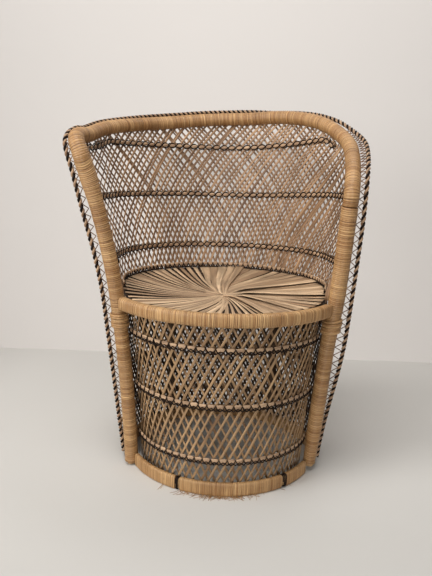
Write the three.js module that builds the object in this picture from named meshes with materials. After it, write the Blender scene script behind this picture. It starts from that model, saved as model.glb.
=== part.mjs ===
import * as THREE from 'three';

// A wicker tub chair: a hoop of wrapped rattan pole, a woven drum base and a flaring lattice back.
// Millimetres, +Z up, the front faces -Y. Left and right are those of a person facing the chair.

// Driving dimensions
const SEAT_HEIGHT = 415; // half a rail's height over the middle of the front seat rail
const RIM_HEIGHT = 820; // middle of the rim pole at the back
const CROWN_LEAN = -30; // sideways lean of the crown, worked by hand and not quite true
const POLE_RADIUS = { left: 15.6, right: 17.4, rim: 16.5 };

// Posts, from the floor to the bends
const POST_FOOT = { left: 212.6, right: 207.5, y: -80 };
const POST_RUN = 720; // height over which the spread and the forward rake are given
const POST_SPREAD = 57;
const POST_BOW = 0.62; // share of the spread that comes in as a bow
const POST_RAKE = -62;
const LEFT_KICK = { from: 380, out: 24 }; // the left post turns out more near its top
const RIGHT_BULGE = 6;
const RIGHT_STEP = { out: 6.5, low: 290, high: 450 }; // the right post stands out more above the seat rail
// Bare core at the foot of each post, with its height over the floor on either side
const CORE_END = { radius: 11, length: 7, left: 2, right: 11 };

// Bends between posts and rim, as a height on the post and an angle on the rim from its back
const LEFT_BEND = { post: 712, angle: -109 };
const RIGHT_BEND = { post: 655, angle: 97 };
const SPLICE_BELOW_BEND = 30;
const SPLICE_GAP = 1.5;
const LEFT_RIM_DROP = 72;
const LEFT_SHOULDER = { from: 55, to: 100, drop: 11 };
const RIM_EDGE_ANGLE = 118;
const RIGHT_CREST = { angle: 37, rise: 7 };
const RIGHT_CORNER = { angle: 118, height: 707 };
const RIGHT_TUCK = { inward: 9, low: 70, high: 100 }; // the right corner is rounder than the left

// Border surface, which the rope's edges lie on: its radius and the place of its middle at a height
const BORDER_FOOT_RADIUS = 238;
const BORDER_FLARE = 0.122;
const BORDER_CURL = -0.00002;
const BORDER_MIDDLE = { foot: -9, rate: -0.0125 };
const BORDER_EDGE = { angle: 111, turn: -13 }; // angle from the back, and how it closes at the floor
// Outward roll of the border near the posts, and the heights and angles over which it comes in
const LEFT_ROLL = { foot: 0, out: 25, low: 415, high: 720 };
const RIGHT_ROLL = { foot: -8, out: 9, low: 40, high: 330 };
const ROLL_ANGLES = [90, 110];
const RIM_INSET = 22.3; // of the rim's middle line from the border

// Rear wall of the drum, under the seat
const DRUM_RADIUS = { foot: 238, seat: 241 };
const DRUM_EDGE_INSET = 4; // degrees that it stops short of the border

// Back wall, from the seat to the rim
const BACK_FOOT = 406;
const BACK_SEAT_RADIUS = 241;
const BACK_FLARE = 0.148;
const BACK_MIDDLE = -13;
const BACK_EDGE_ANGLE = 109;

// Rails and hoops
// The front rails are arcs: their middle line's front, a point of it on the right, and where it ends
const SEAT_RAIL = {
  tall: 28, thick: 22, chamfer: 6, front: 242, x: 218, y: -133, ends: [-222.5, 223.5], z: 399,
};
const BASE_RAIL = {
  tall: 30, thick: 12, chamfer: 3, front: 213, x: 198, y: -92, ends: [-198, 193], z: 15,
};
const HOOP_RADIUS = 10;
const BAR_RADIUS = 8.5;
const SEAT_BAR_SHIFT = 60; // of each seat bar from the middle of the seat
const REAR_LEG_ANGLE = 38;

// Lattice strands: flat cane, in two layers that lean opposite ways
const STRAND = { width: 5.5, thick: 2 };
const BAND = { tall: 14, thick: 3 };
const BAND_SQUEEZE = 24; // a band that the rim would press down further than this ends there
const APRON_BANDS = [78, 204, 330];
const BACK_BANDS = [{ z: 488, rise: 7 }, { z: 621, rise: 20 }, { z: 745, rise: 34 }]; // rise to the right
const DRUM_BANDS = [78, 204, 330];
const TRIM_HEIGHT = 434;

const SEAT = { radius: 232, thick: 10, dish: 411, rise: 15, pleats: 18, pleatDepth: 3.4, twist: 70 };
const ROPE_RADIUS = 4.5;
const LEFT_ROPE_CORNER = [-350, -126, 738]; // where the rope turns round the left corner
const LACING = { width: 2, thick: 1.4, rise: 9.5, top: { left: 660, right: 600 }, leastReach: 7 };
const LASHING = { turns: 5, strand: 2.2, pitch: 5.4, bottom: 347 };
const TIE = { turns: 2, strand: 1.3, pitch: 3.4, neck: 15, inset: 3, places: [-97, 137] };
const GAP = 0.3; // room between pieces that touch

const { degToRad, lerp, smoothstep } = THREE.MathUtils;
const vec = (x, y, z) => new THREE.Vector3(x, y, z);
const UP = vec(0, 0, 1);

// Materials
const matte = (color, roughness) => new THREE.MeshStandardMaterial({ color, roughness, metalness: 0 });
const WRAP = matte(0xb98a52, 0.55);
const STRAND_CANE = matte(0xb48a63, 0.62);
const PALM = matte(0xc9ac7d, 0.75);
const DYED = matte(0x221b17, 0.6);
const CORE = matte(0xd8c096, 0.8);

// Surfaces that the weave follows

function lean(z) {
  return CROWN_LEAN * (z / RIM_HEIGHT) ** 2;
}

function postAt(side, z) {
  const t = z / POST_RUN;
  const spread = POST_SPREAD * lerp(t, t * t, POST_BOW);
  const kick = LEFT_KICK.out * (Math.max(0, z - LEFT_KICK.from) / (POST_RUN - LEFT_KICK.from)) ** 2;
  const step = RIGHT_STEP.out * smoothstep(z, RIGHT_STEP.low, RIGHT_STEP.high);
  const left = POST_FOOT.left + spread + kick;
  const right = POST_FOOT.right + spread + RIGHT_BULGE * Math.sin(Math.PI * t) + step;
  return vec((side < 0 ? -left : right) + lean(z), POST_FOOT.y + POST_RAKE * t, z);
}

function borderEdge(z) {
  return BORDER_EDGE.angle + BORDER_EDGE.turn * Math.max(0, 1 - z / RIM_HEIGHT) ** 3;
}

function rimHeight(angle) {
  if (angle < 0) {
    const shoulder = LEFT_SHOULDER.drop * smoothstep(-angle, LEFT_SHOULDER.from, LEFT_SHOULDER.to);
    return RIM_HEIGHT - LEFT_RIM_DROP * (-angle / RIM_EDGE_ANGLE) - shoulder;
  }
  const crest = RIM_HEIGHT + RIGHT_CREST.rise * smoothstep(angle, 0, RIGHT_CREST.angle);
  const fall = smoothstep(angle, RIGHT_CREST.angle, RIGHT_CORNER.angle);
  return lerp(crest, RIGHT_CORNER.height, fall);
}

function borderRadius(z) {
  return BORDER_FOOT_RADIUS + BORDER_FLARE * z + BORDER_CURL * z * z;
}

function borderRoll(z, angle) {
  const roll = angle < 0 ? LEFT_ROLL : RIGHT_ROLL;
  const out = lerp(roll.foot, roll.out, smoothstep(z, roll.low, roll.high));
  return out * smoothstep(Math.abs(angle), ...ROLL_ANGLES);
}

// A wall is a stack of arcs. Angles are in degrees from its middle, positive to the right.
const border = {
  facing: 1,
  radius: (z, angle) => borderRadius(z) + borderRoll(z, angle),
  middle: (z) => BORDER_MIDDLE.foot + BORDER_MIDDLE.rate * z,
};

const drum = {
  facing: 1,
  layer: 2.2,
  radius: (z) => lerp(DRUM_RADIUS.foot, DRUM_RADIUS.seat, z / SEAT_HEIGHT),
  middle: (z) => lerp(BORDER_MIDDLE.foot, BACK_MIDDLE, z / SEAT_HEIGHT),
  edge: (z) => borderEdge(z) - DRUM_EDGE_INSET,
  bottom: 6,
  top: () => SEAT_HEIGHT - 17,
};

const backWall = {
  facing: 1,
  layer: 1.7,
  radius: (z) => BACK_SEAT_RADIUS + BACK_FLARE * (z - TRIM_HEIGHT),
  middle: () => BACK_MIDDLE,
  edge: () => BACK_EDGE_ANGLE,
  bottom: BACK_FOOT,
  top: (angle) => rimLine(angle) - POLE_RADIUS.rim - 5,
};

// The apron hangs between the inner faces of the front rails and passes inside the posts.
function apronArc(z) {
  const [low, high] = [BASE_RAIL, SEAT_RAIL].map((rail) => rail.thick / 2 + 6 - rail.front);
  const front = lerp(low, high, z / SEAT_HEIGHT);
  const post = postAt(-1, z);
  const endX = lean(z) - post.x - 30;
  const sagitta = post.y + 8 - front;
  const radius = (endX ** 2 + sagitta ** 2) / (2 * sagitta);
  return { radius, middle: front + radius, edge: THREE.MathUtils.radToDeg(Math.asin(endX / radius)) };
}

const apron = {
  facing: -1,
  layer: 2,
  radius: (z) => apronArc(z).radius,
  middle: (z) => apronArc(z).middle,
  edge: (z) => apronArc(z).edge,
  bottom: 8,
  top: () => SEAT_HEIGHT - 17,
};

function outward(wall, angle) {
  const a = degToRad(angle);
  return vec(Math.sin(a), wall.facing * Math.cos(a), 0);
}

function onWall(wall, angle, z, offset) {
  const reach = wall.radius(z, angle) + offset;
  return outward(wall, angle).multiplyScalar(reach).add(vec(lean(z), wall.middle(z), z));
}

// Path of the rim pole, a little inside the border and bent down to the posts

function rimPoint(angle) {
  const z = rimHeight(angle);
  const tuck = RIGHT_TUCK.inward * smoothstep(angle, RIGHT_TUCK.low, RIGHT_TUCK.high);
  const reach = borderRadius(z) + (angle < 0 ? borderRoll(z, angle) : -tuck) - RIM_INSET;
  return outward(border, angle).multiplyScalar(reach).add(vec(lean(z), border.middle(z), z));
}

function rimCurve() {
  const left = [LEFT_BEND.post - SPLICE_BELOW_BEND + SPLICE_GAP, LEFT_BEND.post].map((z) => postAt(-1, z));
  const right = [RIGHT_BEND.post, RIGHT_BEND.post - SPLICE_BELOW_BEND + SPLICE_GAP].map((z) => postAt(1, z));
  const angles = steps(LEFT_BEND.angle, RIGHT_BEND.angle, 10);
  return new THREE.CatmullRomCurve3([...left, ...angles.map(rimPoint), ...right]);
}

const rimPath = rimCurve().getSpacedPoints(160).map((p) => {
  const angle = Math.atan2(p.x - lean(p.z), p.y - border.middle(p.z));
  return { angle: THREE.MathUtils.radToDeg(angle), z: p.z };
});

// Height of the rim pole's middle over an angle, the lowest where it bends down
function rimLine(angle) {
  const near = rimPath.filter((p) => Math.abs(p.angle - angle) < 3);
  return Math.min(POST_RUN + RIM_HEIGHT, ...near.map((p) => p.z));
}

// Solids

function closedSolid(positions, indices) {
  let volume = 0;
  const [a, b, c] = [vec(), vec(), vec()];
  for (let i = 0; i < indices.length; i += 3) {
    a.fromArray(positions, indices[i] * 3);
    b.fromArray(positions, indices[i + 1] * 3);
    c.fromArray(positions, indices[i + 2] * 3);
    volume += a.dot(b.cross(c));
  }
  const geometry = new THREE.BufferGeometry();
  geometry.setAttribute('position', new THREE.Float32BufferAttribute(positions, 3));
  geometry.setIndex(volume < 0 ? indices.slice().reverse() : indices);
  geometry.computeVertexNormals();
  return geometry;
}

function loft(rings) {
  const sides = rings[0].length;
  const positions = rings.flat().flatMap((p) => p.toArray());
  const indices = [];
  for (let r = 0; r + 1 < rings.length; r++) {
    for (let s = 0; s < sides; s++) {
      const next = (s + 1) % sides;
      const [p, q] = [r * sides + s, r * sides + next];
      indices.push(p, q, q + sides, p, q + sides, p + sides);
    }
  }
  const last = (rings.length - 1) * sides;
  for (let s = 1; s + 1 < sides; s++) {
    indices.push(0, s + 1, s);
    indices.push(last, last + s, last + s + 1);
  }
  return closedSolid(positions, indices);
}

// A section is a list of [across, out] pairs. The out axis leans to the given direction at each point.
function sweep(points, section, outAt) {
  let carried = null;
  const rings = points.map((point, i) => {
    const before = points[Math.max(i - 1, 0)];
    const after = points[Math.min(i + 1, points.length - 1)];
    const ahead = after.clone().sub(point).normalize();
    const behind = point.clone().sub(before).normalize();
    const along = ahead.add(behind).normalize();
    const guide = outAt ? outAt(point, i) : carried ?? (Math.abs(along.z) > 0.9 ? vec(1, 0, 0) : UP);
    const out = guide.clone().addScaledVector(along, -guide.dot(along)).normalize();
    const across = along.clone().cross(out);
    carried = out;
    const shape = typeof section === 'function' ? section(point, i) : section;
    return shape.map(([u, v]) => point.clone().addScaledVector(across, u).addScaledVector(out, v));
  });
  return loft(rings);
}

function round(radius, sides) {
  return Array.from({ length: sides }, (_, k) => {
    const a = (2 * Math.PI * k) / sides;
    return [radius * Math.cos(a), radius * Math.sin(a)];
  });
}

function flat(width, thick) {
  const [w, h] = [width / 2, thick / 2];
  return [[-w, -h], [w, -h], [w, h], [-w, h]];
}

// A rail's section, wrapped round with flat cane: a tall bar with eased corners. inset makes it slimmer.
function railSection(rail, inset = 0) {
  const [w, h, c] = [rail.tall / 2 - inset, rail.thick / 2 - inset, rail.chamfer - inset / 2];
  const corners = [[-1, -1], [1, -1], [1, 1], [-1, 1]];
  return corners.flatMap(([u, v]) => {
    const ease = [[u * w, v * (h - c)], [u * (w - c), v * h]];
    return u === v ? ease : ease.reverse();
  });
}

function steps(from, to, count) {
  return Array.from({ length: count + 1 }, (_, k) => lerp(from, to, k / count));
}

// Scene graph

const chair = new THREE.Group();

function add(name, geometry, material) {
  const mesh = new THREE.Mesh(geometry, material);
  mesh.name = name;
  chair.add(mesh);
}

// Hoop: two posts and the rim, spliced below the bends

function addPost(name, side, radius, bend) {
  const foot = CORE_END[name];
  const heights = steps(foot + CORE_END.length + GAP, bend.post - SPLICE_BELOW_BEND, 10);
  add(`${name}_post`, sweep(heights.map((z) => postAt(side, z)), round(radius, 10)), WRAP);
  const core = [foot, foot + CORE_END.length].map((z) => postAt(side, z));
  add(`${name}_post_core_end`, sweep(core, round(CORE_END.radius, 10), () => vec(1, 0, 0)), CORE);
}

addPost('left', -1, POLE_RADIUS.left, LEFT_BEND);
addPost('right', 1, POLE_RADIUS.right, RIGHT_BEND);
add('top_rim', sweep(rimCurve().getSpacedPoints(56), round(POLE_RADIUS.rim, 10)), WRAP);

// Front rails lie before the posts, on the arc through their front and their ends

function arcOf(rail) {
  const sagitta = rail.front + rail.y;
  const radius = (rail.x ** 2 + sagitta ** 2) / (2 * sagitta);
  return { radius, middle: radius - rail.front, z: rail.z };
}

function railPoint(arc, x) {
  return vec(x + lean(arc.z), arc.middle - Math.sqrt(arc.radius ** 2 - x ** 2), arc.z);
}

function railOut(arc) {
  return (p) => vec(p.x - lean(arc.z), p.y - arc.middle, 0).normalize();
}

const seatArc = arcOf(SEAT_RAIL);
const baseArc = arcOf(BASE_RAIL);

const seatRailPoints = steps(...SEAT_RAIL.ends, 16).map((x) => railPoint(seatArc, x));
add('front_seat_rail', sweep(seatRailPoints, railSection(SEAT_RAIL), railOut(seatArc)), WRAP);

// The base rail is wrapped in three lengths, with a bare neck under each tie
function addBaseRail() {
  const stations = [];
  const slope = 2;
  let [from] = BASE_RAIL.ends;
  for (const place of [...TIE.places, null]) {
    const to = place === null ? BASE_RAIL.ends[1] : place - TIE.neck / 2;
    stations.push(...steps(from, to, 5).map((x) => ({ x, inset: 0 })));
    if (place !== null) {
      stations.push({ x: to + slope, inset: TIE.inset });
      from = place + TIE.neck / 2;
      stations.push({ x: from - slope, inset: TIE.inset });
    }
  }
  const points = stations.map((s) => railPoint(baseArc, s.x));
  const section = (_, i) => railSection(BASE_RAIL, stations[i].inset);
  add('front_base_rail', sweep(points, section, railOut(baseArc)), WRAP);
}
addBaseRail();

// Windings are unbroken tubes, and their least gap to themselves is measured on points

function leastGap(points, strand, turnSteps) {
  let least = Infinity;
  for (let i = 0; i < points.length; i++) {
    for (let j = i + Math.floor(turnSteps / 2); j < points.length; j++) {
      least = Math.min(least, points[i].distanceTo(points[j]) - 2 * strand);
    }
  }
  return least;
}

function addWinding(name, pathAt, winding, material) {
  const turnSteps = 14;
  const count = winding.turns * turnSteps;
  const points = steps(0, winding.turns, count).map(pathAt);
  console.log(`${name}: least gap ${leastGap(points, winding.strand, turnSteps).toFixed(2)} mm`);
  add(name, sweep(points, round(winding.strand, 5)), material);
}

function addLashing(name, side, poleRadius) {
  const reach = poleRadius + LASHING.strand + 3 * GAP;
  const pathAt = (turn) => {
    const a = 2 * Math.PI * turn * side;
    const z = LASHING.bottom + LASHING.pitch * turn;
    return postAt(side, z).add(vec(reach * Math.cos(a), reach * Math.sin(a), 0));
  };
  addWinding(name, pathAt, LASHING, WRAP);
}
addLashing('left_seat_lashing', -1, POLE_RADIUS.left);
addLashing('right_seat_lashing', 1, POLE_RADIUS.right);

// A tie goes round the rail as a rounded box
const boxy = (share) => Math.sign(share) * Math.abs(share) ** 0.6;

function addTie(name, place) {
  const tall = BASE_RAIL.tall / 2 - TIE.inset + TIE.strand + GAP;
  const thick = BASE_RAIL.thick / 2 - TIE.inset + TIE.strand + 4 * GAP;
  const pathAt = (turn) => {
    const a = 2 * Math.PI * turn;
    const centre = railPoint(baseArc, place + TIE.pitch * (turn - TIE.turns / 2));
    const out = railOut(baseArc)(centre);
    const raised = centre.addScaledVector(UP, tall * boxy(Math.sin(a)));
    return raised.addScaledVector(out, thick * boxy(Math.cos(a)));
  };
  addWinding(name, pathAt, TIE, DYED);
}
addTie('left_base_tie', TIE.places[0]);
addTie('right_base_tie', TIE.places[1]);

// Rear hoops, legs and seat bars

function hoopPoints(wall, inset, z, end, count) {
  return steps(-end, end, count).map((angle) => onWall(wall, angle, z, -inset));
}

const insideDrum = (thick) => drum.layer + STRAND.thick / 2 + thick / 2 + 3;
const baseHoop = hoopPoints(drum, insideDrum(BASE_RAIL.thick), BASE_RAIL.z, 94, 18);
const fromAxis = (middle) => (p) => vec(p.x, p.y - middle, 0).normalize();
add('rear_base_hoop', sweep(baseHoop, railSection(BASE_RAIL), fromAxis(drum.middle(BASE_RAIL.z))), WRAP);

const hoopHeight = BACK_FOOT - HOOP_RADIUS - 4;
const hoopInset = insideDrum(2 * HOOP_RADIUS);
const seatHoop = hoopPoints(drum, hoopInset, hoopHeight, 104, 18);
add('rear_seat_hoop', sweep(seatHoop, round(HOOP_RADIUS, 8)), CORE);

function addRearLeg(name, angle) {
  const foot = onWall(drum, angle, BASE_RAIL.tall + 5 * GAP, -hoopInset);
  const head = onWall(drum, angle, hoopHeight - HOOP_RADIUS - GAP, -hoopInset);
  add(name, sweep([foot, head], round(HOOP_RADIUS, 8), () => vec(1, 0, 0)), CORE);
}
addRearLeg('left_rear_leg', -REAR_LEG_ANGLE);
addRearLeg('right_rear_leg', REAR_LEG_ANGLE);

function addSeatBar(name, shift) {
  const hoop = drum.radius(hoopHeight) - hoopInset - HOOP_RADIUS - 4 * GAP;
  const reach = Math.sqrt(hoop ** 2 - (Math.abs(shift) + BAR_RADIUS) ** 2);
  const middle = vec(lean(hoopHeight), drum.middle(hoopHeight) + shift, hoopHeight);
  const ends = [-reach, reach].map((x) => middle.clone().add(vec(x, 0, 0)));
  add(name, sweep(ends, round(BAR_RADIUS, 8)), CORE);
}
addSeatBar('front_seat_bar', -SEAT_BAR_SHIFT);
addSeatBar('rear_seat_bar', SEAT_BAR_SHIFT);

// Lattice: each length of cane is laced to and fro, up one slanting run and down the next

function strandRun(wall, start, tilt, segments) {
  const foot = wall.bottom;
  const inside = (z) => {
    const angle = start + tilt * (z - foot);
    return Math.abs(angle) <= wall.edge(z) && z <= wall.top(angle);
  };
  const heights = steps(foot, RIM_HEIGHT + 10, 200).filter(inside);
  if (heights.length < 12) {
    return [];
  }
  return steps(heights[0], heights.at(-1), segments).map((z) => ({ angle: start + tilt * (z - foot), z }));
}

function laced(wall, runs, offset) {
  const points = runs.flatMap((run, k) => (k % 2 ? run.slice().reverse() : run));
  const path = points.map(({ angle, z }) => onWall(wall, angle, z, offset));
  return sweep(path, flat(STRAND.width, STRAND.thick), (_, i) => outward(wall, points[i].angle));
}

// One layer of a wall, in several lengths of cane
function addLayer(wall, names, { pitch, tilt, segments, offset }) {
  const reach = wall.edge(wall.bottom) + Math.abs(tilt) * (RIM_HEIGHT - wall.bottom);
  const starts = steps(-reach, reach, Math.round((2 * reach) / pitch));
  const runs = starts.map((start) => strandRun(wall, start, tilt, segments)).filter((run) => run.length);
  const share = Math.ceil(runs.length / names.length);
  names.forEach((name, k) => {
    add(name, laced(wall, runs.slice(k * share, (k + 1) * share), offset), STRAND_CANE);
  });
}

// A band keeps its height, rises a little to the right, and is held below the rim
function addBand(name, wall, { z, rise = 0 }, offset, count, material) {
  const end = wall.edge(z);
  const route = steps(-end, end, count).map((angle) => {
    const wanted = z + rise * smoothstep(angle, 0, 90);
    const room = wall.top(angle) - BAND.tall / 2;
    return { angle, z: Math.min(wanted, room), squeezed: wanted - room };
  }).filter((place) => place.squeezed < BAND_SQUEEZE);
  const points = route.map((place) => onWall(wall, place.angle, place.z, offset));
  add(name, sweep(points, flat(BAND.tall, BAND.thick), (_, i) => outward(wall, route[i].angle)), material);
}

const bandOffset = (wall) => wall.layer + STRAND.thick / 2 + BAND.thick / 2 + 2.3;

addLayer(apron, ['apron_right_leaning_canes'],
  { pitch: 7.8, tilt: 0.136, segments: 5, offset: apron.layer });
addLayer(apron, ['apron_left_leaning_canes'],
  { pitch: 7.8, tilt: -0.136, segments: 5, offset: -apron.layer });
APRON_BANDS.forEach((z, k) => {
  addBand(`apron_band_${k + 1}`, apron, { z }, bandOffset(apron), 22, DYED);
});

const thirds = (stem) => ['left', 'middle', 'right'].map((part) => `${stem}_${part}`);

addLayer(backWall, thirds('back_right_leaning_canes'),
  { pitch: 7.2, tilt: 0.104, segments: 4, offset: -backWall.layer });
addLayer(backWall, thirds('back_left_leaning_canes'),
  { pitch: 7.2, tilt: -0.104, segments: 4, offset: backWall.layer });
BACK_BANDS.forEach((band, k) => {
  addBand(`back_band_${k + 1}`, backWall, band, -bandOffset(backWall), 32, DYED);
});
addBand('seat_edge_trim', backWall, { z: TRIM_HEIGHT }, -bandOffset(backWall), 32, STRAND_CANE);

addLayer(drum, thirds('drum_right_leaning_canes'),
  { pitch: 7.8, tilt: 0.13, segments: 5, offset: drum.layer });
addLayer(drum, thirds('drum_left_leaning_canes'),
  { pitch: 7.8, tilt: -0.13, segments: 5, offset: -drum.layer });
DRUM_BANDS.forEach((z, k) => {
  addBand(`drum_band_${k + 1}`, drum, { z }, bandOffset(drum), 32, DYED);
});

// Border rope, up beside one post, along the top of the rim and down beside the other post

const ropeEdge = (side, z) => onWall(border, side * (borderEdge(z) + 0.4), z, 0);
const rimPoints = rimCurve().getSpacedPoints(400);

// The rope lies on the rim wherever its line would come nearer than that
function offRim(point) {
  const nearer = (best, p) => (p.distanceTo(point) < best.distanceTo(point) ? p : best);
  const near = rimPoints.reduce(nearer);
  const away = point.clone().sub(near);
  const reach = Math.max(away.length(), POLE_RADIUS.rim + ROPE_RADIUS + 3 * GAP);
  return near.clone().addScaledVector(away.normalize(), reach);
}

function ropeCurve() {
  const rim = rimCurve();
  const crown = (share) => {
    const point = rim.getPointAt(share);
    const along = rim.getTangentAt(share);
    const angle = Math.atan2(point.x - lean(point.z), point.y - border.middle(point.z));
    const radial = vec(Math.sin(angle), Math.cos(angle), 0);
    const out = radial.addScaledVector(along, -radial.dot(along)).normalize();
    const over = along.clone().cross(out);
    const leaving = 1 - smoothstep(1 - share, 0.13, 0.32);
    const behind = smoothstep(share, 0.54, 0.6) * (1 - smoothstep(share, 0.68, 0.74));
    const aside = lerp(8, 31, leaving) + 8 * behind;
    const above = lerp(19.8, 15, leaving) - 5.5 * behind;
    return point.addScaledVector(out, aside).addScaledVector(over, above);
  };
  const left = steps(12, 670, 8).map((z) => ropeEdge(-1, z));
  const right = steps(600, 12, 8).map((z) => ropeEdge(1, z));
  const top = steps(0.1, 0.95, 17).map(crown);
  return new THREE.CatmullRomCurve3([...left, vec(...LEFT_ROPE_CORNER), ...top, ...right]);
}
add('border_rope', sweep(ropeCurve().getSpacedPoints(108).map(offRim), round(ROPE_RADIUS, 5)), DYED);

// A thin cane laced to and fro holds the rope to each post. Past the lashing it runs on beside the rope.
function addLacing(name, side, poleRadius) {
  const top = LACING.top[name];
  const points = [];
  for (let z = top, turn = 0; z > 0; z -= LACING.rise, turn++) {
    const post = postAt(side, z);
    const rope = ropeEdge(side, z);
    const room = LACING.width / 2 + 2 * GAP;
    const way = rope.clone().sub(post).normalize();
    const fromLashing = Math.abs(z - LASHING.bottom - (LASHING.turns * LASHING.pitch) / 2);
    const lashed = fromLashing < (LASHING.turns * LASHING.pitch) / 2 + LACING.rise;
    const [near, far] = [poleRadius + room, rope.distanceTo(post) - ROPE_RADIUS - room];
    if (far - near > LACING.leastReach) {
      points.push(post.addScaledVector(way, turn % 2 && !lashed ? near : far));
    }
  }
  const strip = flat(LACING.width, LACING.thick);
  add(`${name}_rope_lacing`, sweep(points, strip, () => vec(0, 1, 0)), STRAND_CANE);
}
addLacing('left', -1, POLE_RADIUS.left);
addLacing('right', 1, POLE_RADIUS.right);

// Seat: flat palm strips in overlapping pleats that swirl out from the middle

function seatReach(angle) {
  const inner = seatArc.radius - SEAT_RAIL.thick / 2 - 1.5;
  const depth = seatArc.middle - BACK_MIDDLE;
  const a = degToRad(angle);
  const toRail = Math.sqrt(inner ** 2 - (depth * Math.sin(a)) ** 2) - depth * Math.cos(a);
  return Math.min(SEAT.radius, toRail);
}

function seatPoint(ray, share, drop) {
  const angle = (180 * ray) / SEAT.pleats + SEAT.twist * (1 - share);
  const reach = seatReach(angle) * share;
  const back = (1 - Math.cos(degToRad(angle))) / 2;
  const z = SEAT.dish + SEAT.rise * back * share ** 2 - drop;
  const a = degToRad(angle);
  return vec(lean(z) + reach * Math.sin(a), BACK_MIDDLE - reach * Math.cos(a), z);
}

// Rings of points over the pleats, closed below by a plain cone
function seatSurface() {
  const rays = SEAT.pleats * 2;
  const rings = 5;
  const points = [seatPoint(0, 0, 0), seatPoint(0, 0, SEAT.thick)];
  const indices = [];
  for (let ring = 1; ring <= rings + 1; ring++) {
    const share = Math.min(1, ring / rings);
    for (let ray = 0; ray < rays; ray++) {
      const pleat = ray % 2 ? SEAT.pleatDepth * Math.min(1, 2 * share) : 0;
      points.push(seatPoint(ray, share, ring > rings ? SEAT.thick : pleat));
    }
  }
  const id = (ring, ray) => 2 + (ring - 1) * rays + (ray % rays);
  for (let ray = 0; ray < rays; ray++) {
    indices.push(0, id(1, ray), id(1, ray + 1));
    for (let ring = 1; ring <= rings; ring++) {
      const [a, b] = [id(ring, ray), id(ring, ray + 1)];
      const [c, d] = [id(ring + 1, ray), id(ring + 1, ray + 1)];
      indices.push(a, c, d, a, d, b);
    }
    indices.push(1, id(rings + 1, ray + 1), id(rings + 1, ray));
  }
  return closedSolid(points.flatMap((p) => p.toArray()), indices);
}
add('seat_swirl', seatSurface(), PALM);

// The origin is on the floor, under the middle of the whole chair
const box = new THREE.Box3().setFromObject(chair);
const middle = box.getCenter(vec());
chair.position.set(-middle.x, -middle.y, -box.min.z);

export default chair;
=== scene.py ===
import math

import bpy
import numpy as np
from mathutils import Matrix, Vector


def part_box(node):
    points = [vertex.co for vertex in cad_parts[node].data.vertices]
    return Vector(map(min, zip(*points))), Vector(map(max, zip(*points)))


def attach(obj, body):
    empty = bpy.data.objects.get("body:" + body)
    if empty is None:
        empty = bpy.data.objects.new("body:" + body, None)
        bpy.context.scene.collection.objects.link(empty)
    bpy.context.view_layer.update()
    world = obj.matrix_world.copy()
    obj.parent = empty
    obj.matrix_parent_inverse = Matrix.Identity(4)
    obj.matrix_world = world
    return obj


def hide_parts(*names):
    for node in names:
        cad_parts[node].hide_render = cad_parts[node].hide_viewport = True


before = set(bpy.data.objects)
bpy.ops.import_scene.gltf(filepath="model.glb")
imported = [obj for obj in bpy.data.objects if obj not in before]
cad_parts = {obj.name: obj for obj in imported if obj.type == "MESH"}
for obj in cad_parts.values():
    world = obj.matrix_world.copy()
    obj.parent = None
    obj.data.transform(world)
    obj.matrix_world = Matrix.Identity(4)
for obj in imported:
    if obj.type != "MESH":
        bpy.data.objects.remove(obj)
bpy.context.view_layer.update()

SEED = 41
rng = np.random.default_rng(SEED)

# The chair is worked out in millimetres round the axis of its drum, then set in the frame
AXIS_BEHIND_RAIL_M = 0.219
rail_low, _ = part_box("front_base_rail")
hoop_low, hoop_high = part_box("rear_base_hoop")
DRUM_AXIS = np.array([(hoop_low.x + hoop_high.x) / 2, rail_low.y + AXIS_BEHIND_RAIL_M, 0.0])

# Heights above the floor
BASE_HEIGHT = 15.0
HOOP_HEIGHT = 392.0
SEAT_RAIL_HEIGHT = 399.0
SEAT_HEIGHT = 415.0
TRIM_HEIGHT = 434.0
POST_HEIGHT = 720.0
RIM_HEIGHT = 820.0
STRAND_LIMIT = 840.0

# Radii of the wrapped poles, and the spacing of the turns of cane on them
POLE = {"left": 15.6, "right": 17.4, "rim": 16.5}
WRAP_PITCH = 4.2
RAIL_PITCH = 3.8

# Plan: distances from the drum's axis, and angles from the middle of the back
POST_FOOT = {"left": 212.6, "right": 207.5}
POST_FRONT, POST_RAKE = -80, 62
POST_SPREAD, POST_BOW = 57, 0.62
TOP_LEAN = -30.0
DRUM_RADIUS = 238
TRIM_RADIUS = 241
BACK_MIDDLE = -13.0
RIM_INSET = 22.3
RIM_END, CREST_ANGLE = 118, 37
RIGHT_BEND_HEIGHT = 707
LEFT_SPLICE, RIGHT_SPLICE = (683.5, 712.0), (655.0, 626.5)


def place(points):
    """Points of the chair in metres, in the frame."""
    return np.asarray(points, float) / 1000 + DRUM_AXIS


def unit(v):
    return v / np.maximum(np.linalg.norm(v, axis=-1, keepdims=True), 1e-9)


def step(x, low, high):
    """A smooth rise from 0 at low to 1 at high."""
    t = np.clip((np.asarray(x, float) - low) / (high - low), 0, 1)
    return t * t * (3 - 2 * t)


def lean(z):
    """The chair leans to the left as it rises."""
    return TOP_LEAN * (np.asarray(z, float) / RIM_HEIGHT) ** 2


def post_at(side, z):
    """Axis of the left (-1) or the right (1) post. Both spread, and the left one flares towards its top."""
    z = np.asarray(z, float)
    t = z / POST_HEIGHT
    spread = POST_SPREAD * (t + POST_BOW * (t * t - t))
    left = -(POST_FOOT["left"] + spread + 24 * (np.maximum(0, z - 380) / 340) ** 2)
    right = POST_FOOT["right"] + spread + 6 * np.sin(np.pi * t) + 6.5 * step(z, 290, 450)
    return np.stack([(left if side < 0 else right) + lean(z), POST_FRONT - POST_RAKE * t, z], -1)


def border_edge(z):
    """Angle at which the border ends beside the posts."""
    return 111 - 13 * np.maximum(0, 1 - np.asarray(z, float) / RIM_HEIGHT) ** 3


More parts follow.
